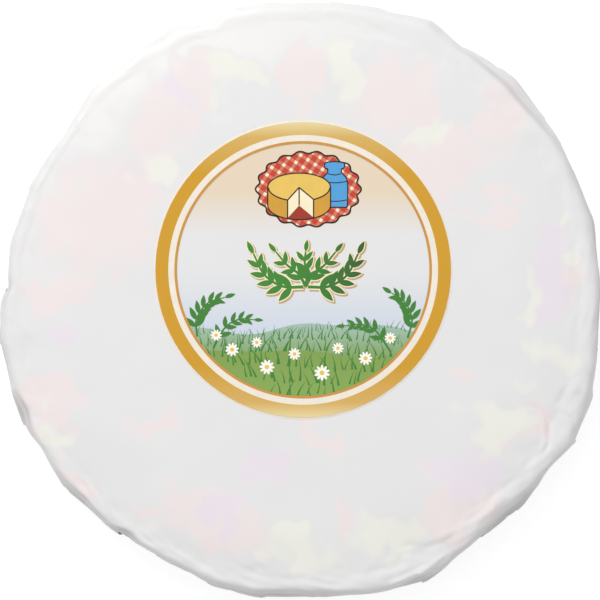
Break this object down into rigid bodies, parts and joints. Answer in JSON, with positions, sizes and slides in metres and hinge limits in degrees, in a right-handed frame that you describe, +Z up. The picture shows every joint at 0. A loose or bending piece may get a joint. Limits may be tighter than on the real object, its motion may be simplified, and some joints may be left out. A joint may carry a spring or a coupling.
{
  "type": "wrapped brie wheel",
  "caption": "Flat round soft cheese in a shut pearly film wrap, pleated round the side and sealed underneath, with a round printed label on top.",
  "frame": {"origin": "middle of the wheel's outline, on the surface that it lies on", "axes": "+Z up through the wheel's thickness, +Y towards the top of the label's picture, +X to its right"},
  "size_m": [0.209, 0.2074, 0.0313],
  "materials": {
    "film": "pearly white wrapping film, softly glossy, creased",
    "label_print": "coloured print under a satin varnish, with a gold border",
    "seal_paper": "uncoated white label paper"
  },
  "bodies": {
    "root": {"wrapped_wheel": "film", "front_label": "label_print", "base_seal": "seal_paper"}
  },
  "joints": []
}
